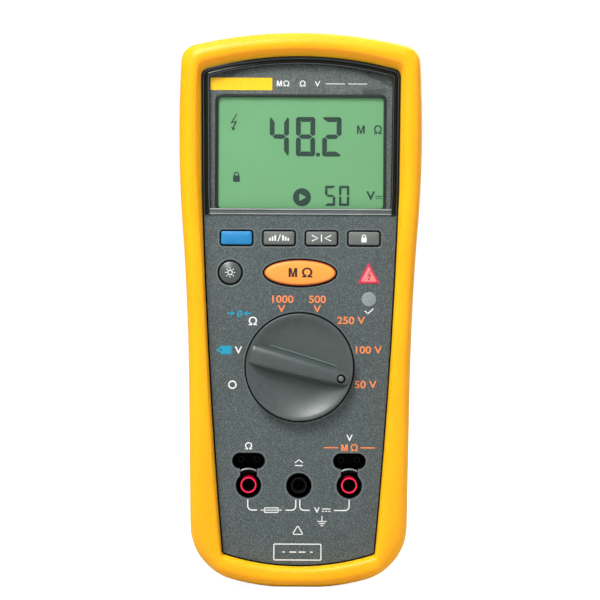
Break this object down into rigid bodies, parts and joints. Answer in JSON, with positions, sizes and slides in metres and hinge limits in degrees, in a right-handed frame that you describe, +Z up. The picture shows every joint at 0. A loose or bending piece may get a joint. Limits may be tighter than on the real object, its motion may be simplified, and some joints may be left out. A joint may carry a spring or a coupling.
{
  "type": "insulation resistance tester",
  "caption": "Hand-held insulation resistance tester in a rubber boot, with display, keys, rotary selector, test lead sockets, battery door and tilt stand.",
  "frame": {"origin": "below the middle of the boot's foot, at the centre of the box seen from above", "axes": "+Z up the tester's length towards the display, -Y the way the front panel faces, +X to the right of somebody reading the display"},
  "size_m": [0.092, 0.05, 0.2095],
  "materials": {
    "boot_rubber": "satin",
    "case_plastic": "fine texture",
    "bezel_plastic": "gloss",
    "window_plastic": "clear",
    "mask_print": "printed",
    "screen_glass": "reflective liquid crystal",
    "light_guide": "milky",
    "carrier_plastic": "moulded",
    "black_rubber": "matt",
    "mat_rubber": "matt",
    "circuit_board": "solder resist",
    "component_black": "moulded",
    "ferrite": "sintered",
    "capacitor_can": "satin",
    "screw_steel": "zinc plated",
    "blue_key": "satin",
    "grey_key": "satin",
    "orange_key": "satin",
    "alarm_lens": "translucent",
    "clear_lens": "frosted",
    "knob_plastic": "fine texture",
    "pointer_plastic": "satin",
    "spindle_plastic": "machined",
    "red_socket": "gloss",
    "black_socket": "gloss",
    "contact_brass": "plated",
    "tray_plastic": "moulded",
    "cell_jacket": "printed sleeve",
    "fuse_ceramic": "glazed ceramic",
    "label_film": "blank film"
  },
  "bodies": {
    "tester": {"holster": "boot_rubber", "front_case": "case_plastic", "rear_case": "case_plastic", "case_screws": "screw_steel", "case_gasket": "black_rubber", "rating_label": "label_film", "display_bezel": "bezel_plastic", "display_lens": "window_plastic", "display_mask": "mask_print", "lcd_glass": "screen_glass", "backlight_panel": "light_guide", "zebra_strips": "black_rubber", "lcd_holder": "carrier_plastic", "main_board": "circuit_board", "board_screws": "screw_steel", "control_chips": "component_black", "step_up_transformer": "ferrite", "smoothing_capacitors": "capacitor_can", "range_relays": "component_black", "beeper": "component_black", "keypad_mat": "mat_rubber", "high_voltage_lens": "alarm_lens", "pass_lens": "clear_lens", "indicator_diodes": "alarm_lens", "detent_spring": "screw_steel", "left_jack_sleeve": "red_socket", "common_jack_sleeve": "black_socket", "right_jack_sleeve": "red_socket", "left_jack_socket": "contact_brass", "common_jack_socket": "contact_brass", "right_jack_socket": "contact_brass", "jack_block": "black_socket", "probe_port_contacts": "contact_brass", "battery_tray": "tray_plastic", "battery_cell_1": "cell_jacket", "battery_cell_2": "cell_jacket", "battery_cell_3": "cell_jacket", "battery_cell_4": "cell_jacket", "battery_contacts": "screw_steel", "fuse_tube": "fuse_ceramic", "fuse_caps": "contact_brass", "fuse_clips": "contact_brass", "door_seal": "black_rubber", "stand_pin": "screw_steel"},
    "knob": {"selector_knob": "knob_plastic", "knob_pointer": "pointer_plastic", "knob_spindle": "spindle_plastic", "knob_seal": "black_rubber", "switch_rotor": "spindle_plastic", "rotor_wipers": "contact_brass"},
    "battery_door": {"battery_door": "case_plastic"},
    "left_door_lock": {"left_door_lock": "screw_steel"},
    "right_door_lock": {"right_door_lock": "screw_steel"},
    "tilt_stand": {"tilt_stand": "case_plastic"},
    "function_key": {"function_key": "blue_key"},
    "ratio_key": {"ratio_key": "grey_key"},
    "compare_key": {"compare_key": "grey_key"},
    "lock_key": {"lock_key": "grey_key"},
    "backlight_key": {"backlight_key": "grey_key"},
    "test_button": {"test_button": "orange_key"}
  },
  "joints": [
    {"name": "knob_turn", "type": "hinge", "parent": "tester", "child": "knob", "pos_m": [0, 0, 0.0831], "axis": [0, -1, 0], "range_deg": [0, 210]},
    {"name": "function_press", "type": "slide", "parent": "tester", "child": "function_key", "axis": [0, 1, 0], "range_m": [0, 0.001], "stiffness_N_per_m": 1500, "springref_m": -0.0004},
    {"name": "ratio_press", "type": "slide", "parent": "tester", "child": "ratio_key", "axis": [0, 1, 0], "range_m": [0, 0.001], "stiffness_N_per_m": 1500, "springref_m": -0.0004},
    {"name": "compare_press", "type": "slide", "parent": "tester", "child": "compare_key", "axis": [0, 1, 0], "range_m": [0, 0.001], "stiffness_N_per_m": 1500, "springref_m": -0.0004},
    {"name": "lock_press", "type": "slide", "parent": "tester", "child": "lock_key", "axis": [0, 1, 0], "range_m": [0, 0.001], "stiffness_N_per_m": 1500, "springref_m": -0.0004},
    {"name": "backlight_press", "type": "slide", "parent": "tester", "child": "backlight_key", "axis": [0, 1, 0], "range_m": [0, 0.001], "stiffness_N_per_m": 1500, "springref_m": -0.0004},
    {"name": "test_press", "type": "slide", "parent": "tester", "child": "test_button", "axis": [0, 1, 0], "range_m": [0, 0.0012], "stiffness_N_per_m": 2500, "springref_m": -0.0004},
    {"name": "door_lift", "type": "slide", "parent": "tester", "child": "battery_door", "axis": [0, 1, 0], "range_m": [0, 0.03]},
    {"name": "left_lock_turn", "type": "hinge", "parent": "battery_door", "child": "left_door_lock", "pos_m": [-0.0252, 0.022, 0.0816], "axis": [0, 1, 0], "range_deg": [0, 90]},
    {"name": "right_lock_turn", "type": "hinge", "parent": "battery_door", "child": "right_door_lock", "pos_m": [0.0252, 0.022, 0.0816], "axis": [0, -1, 0], "range_deg": [0, 90]},
    {"name": "stand_fold", "type": "hinge", "parent": "tester", "child": "tilt_stand", "pos_m": [0, 0.0206, 0.16], "axis": [1, 0, 0], "range_deg": [0, 70]}
  ]
}
